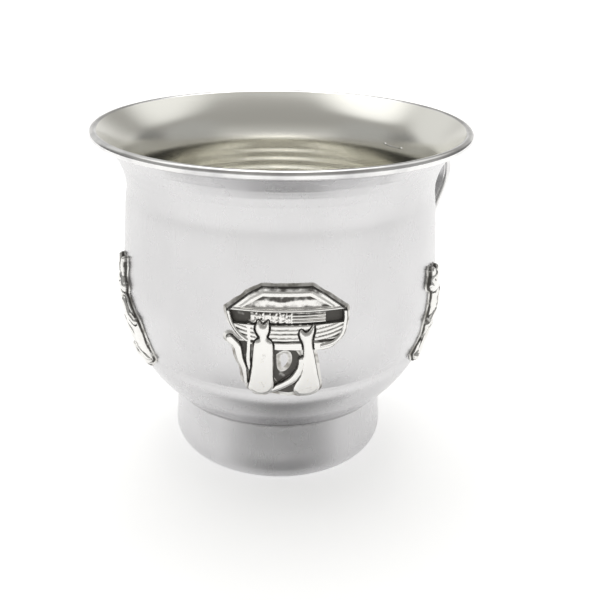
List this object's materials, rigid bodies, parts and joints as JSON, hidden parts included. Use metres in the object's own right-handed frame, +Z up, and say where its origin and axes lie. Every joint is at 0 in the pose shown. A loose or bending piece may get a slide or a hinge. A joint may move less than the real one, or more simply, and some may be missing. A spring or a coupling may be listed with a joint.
{
  "type": "silver child's cup",
  "caption": "Footed, one-handled child's cup in polished silver, with a flared wired lip, a spun foot ring and small cast animal ornaments soldered round the belly.",
  "frame": {"origin": "centre of the foot's resting plane, on the cup's axis", "axes": "+Z up along the cup's axis, -Y towards the front ornament, +X to the right seen from the front"},
  "size_m": [0.0838, 0.08, 0.0748],
  "materials": {
    "polished_silver": "polished, with fine wiping scratches outside and lathe rings inside",
    "silver_wire": "polished drawn wire",
    "silver_solder": "soft satin, a little darker than the sheet",
    "oxidised_cast_silver": "polished high points over dark oxidised recesses"
  },
  "bodies": {
    "root": {"bowl": "polished_silver", "rim_wire": "silver_wire", "foot_ring": "polished_silver", "foot_solder": "silver_solder", "handle_strap": "polished_silver", "handle_wire_near": "silver_wire", "handle_wire_far": "silver_wire", "handle_solder_upper": "silver_solder", "handle_solder_lower": "silver_solder", "ark_casting": "oxidised_cast_silver", "ark_solder": "silver_solder", "bear_casting": "oxidised_cast_silver", "bear_solder": "silver_solder", "rabbit_casting": "oxidised_cast_silver", "rabbit_solder": "silver_solder"}
  },
  "joints": []
}
